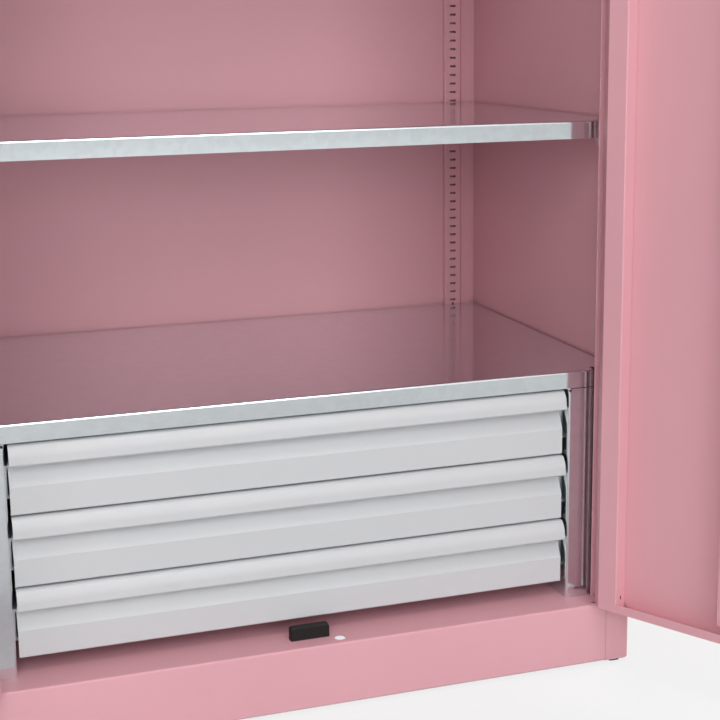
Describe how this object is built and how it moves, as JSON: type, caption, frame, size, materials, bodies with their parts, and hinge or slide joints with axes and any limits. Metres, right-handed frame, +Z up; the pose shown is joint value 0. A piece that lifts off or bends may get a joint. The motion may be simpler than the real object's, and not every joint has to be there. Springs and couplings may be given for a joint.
{
  "type": "heavy-duty drawer cabinet",
  "caption": "Tall steel cabinet with hinged doors and a rod lock, adjustable galvanised shelves, and full-width drawers on telescopic runners in a housing on its floor.",
  "frame": {"origin": "on the floor, in the middle of the carcass's footprint and of its four feet; the doors, open at rest, reach in front of it", "axes": "+Z up, -Y to the front where the drawers open, +X to the right seen from the front"},
  "size_m": [1.348, 1.0039, 1.95],
  "materials": {
    "carcass_paint": "pink powder coat, satin",
    "drawer_paint": "light grey powder coat, satin",
    "galvanised_sheet": "bright galvanised sheet",
    "plain_steel": "zinc plated steel",
    "black_rubber": "matt",
    "black_plastic": "fine grained",
    "lock_chrome": "polished"
  },
  "bodies": {
    "cabinet": {"right_side_panel": "carcass_paint", "left_side_panel": "carcass_paint", "back_panel": "carcass_paint", "floor_panel": "carcass_paint", "top_panel": "carcass_paint", "right_rear_slotted_strip": "carcass_paint", "left_rear_slotted_strip": "carcass_paint", "right_front_slotted_upright": "carcass_paint", "left_front_slotted_upright": "carcass_paint", "corner_gussets": "carcass_paint", "levelling_feet": "black_plastic", "hinge_plates": "carcass_paint", "lower_door_buffer": "black_rubber", "upper_door_buffer": "black_rubber", "shelf_1": "galvanised_sheet", "shelf_2": "galvanised_sheet", "shelf_3": "galvanised_sheet", "shelf_4": "galvanised_sheet", "shelf_2_clips": "galvanised_sheet", "shelf_3_clips": "galvanised_sheet", "shelf_4_clips": "galvanised_sheet", "right_housing_side": "galvanised_sheet", "left_housing_side": "galvanised_sheet", "housing_ties": "galvanised_sheet", "drawer_1_outer_runners": "galvanised_sheet", "drawer_2_outer_runners": "galvanised_sheet", "drawer_3_outer_runners": "galvanised_sheet"},
    "right_door": {"right_door_panel": "carcass_paint", "right_door_stiffener": "carcass_paint", "right_door_pivots": "plain_steel", "lock_case": "galvanised_sheet", "rod_guides": "black_plastic", "handle_rose": "black_plastic"},
    "left_door": {"left_door_panel": "carcass_paint", "left_door_stiffener": "carcass_paint", "left_door_pivots": "plain_steel", "left_door_cover_strip": "carcass_paint"},
    "handle": {"door_handle": "black_plastic", "cam_disc": "plain_steel"},
    "key": {"key_plug": "lock_chrome"},
    "upper_rod": {"upper_lock_rod": "plain_steel"},
    "lower_rod": {"lower_lock_rod": "plain_steel"},
    "drawer_1": {"drawer_1_front": "drawer_paint", "drawer_1_tray": "galvanised_sheet", "drawer_1_inner_runners": "galvanised_sheet"},
    "drawer_1_middle": {"drawer_1_middle_runners": "galvanised_sheet"},
    "drawer_2": {"drawer_2_front": "drawer_paint", "drawer_2_tray": "galvanised_sheet", "drawer_2_inner_runners": "galvanised_sheet"},
    "drawer_2_middle": {"drawer_2_middle_runners": "galvanised_sheet"},
    "drawer_3": {"drawer_3_front": "drawer_paint", "drawer_3_tray": "galvanised_sheet", "drawer_3_inner_runners": "galvanised_sheet"},
    "drawer_3_middle": {"drawer_3_middle_runners": "galvanised_sheet"}
  },
  "joints": [
    {"name": "right_door_swing", "type": "hinge", "parent": "cabinet", "child": "right_door", "pos_m": [0.444, -0.2954, 1], "axis": [0, 0, 1], "range_deg": [-120, 0]},
    {"name": "left_door_swing", "type": "hinge", "parent": "cabinet", "child": "left_door", "pos_m": [-0.444, -0.2954, 1], "axis": [0, 0, -1], "range_deg": [-120, 0]},
    {"name": "handle_turn", "type": "hinge", "parent": "right_door", "child": "handle", "pos_m": [0.64862, -0.64261, 0.975], "axis": [-0.866, -0.5, 0], "range_deg": [0, 90]},
    {"name": "key_turn", "type": "hinge", "parent": "handle", "child": "key", "pos_m": [0.64862, -0.64261, 0.975], "axis": [-0.866, -0.5, 0], "range_deg": [0, 90]},
    {"name": "upper_rod_slide", "type": "slide", "parent": "right_door", "child": "upper_rod", "axis": [0, 0, 1], "range_m": [0, 0.018]},
    {"name": "lower_rod_slide", "type": "slide", "parent": "right_door", "child": "lower_rod", "axis": [0, 0, -1], "range_m": [0, 0.018]},
    {"name": "drawer_1_slide", "type": "slide", "parent": "cabinet", "child": "drawer_1", "axis": [0, -1, 0], "range_m": [0, 0.45]},
    {"name": "drawer_1_middle_slide", "type": "slide", "parent": "cabinet", "child": "drawer_1_middle", "axis": [0, -1, 0], "range_m": [0, 0.225]},
    {"name": "drawer_2_slide", "type": "slide", "parent": "cabinet", "child": "drawer_2", "axis": [0, -1, 0], "range_m": [0, 0.45]},
    {"name": "drawer_2_middle_slide", "type": "slide", "parent": "cabinet", "child": "drawer_2_middle", "axis": [0, -1, 0], "range_m": [0, 0.225]},
    {"name": "drawer_3_slide", "type": "slide", "parent": "cabinet", "child": "drawer_3", "axis": [0, -1, 0], "range_m": [0, 0.45]},
    {"name": "drawer_3_middle_slide", "type": "slide", "parent": "cabinet", "child": "drawer_3_middle", "axis": [0, -1, 0], "range_m": [0, 0.225]}
  ],
  "couplings": [
    {"joint": "upper_rod_slide", "follows": "handle_turn", "m_per_rad": 0.011459},
    {"joint": "lower_rod_slide", "follows": "handle_turn", "m_per_rad": 0.011459},
    {"joint": "drawer_1_middle_slide", "follows": "drawer_1_slide", "ratio": 0.5},
    {"joint": "drawer_2_middle_slide", "follows": "drawer_2_slide", "ratio": 0.5},
    {"joint": "drawer_3_middle_slide", "follows": "drawer_3_slide", "ratio": 0.5}
  ]
}
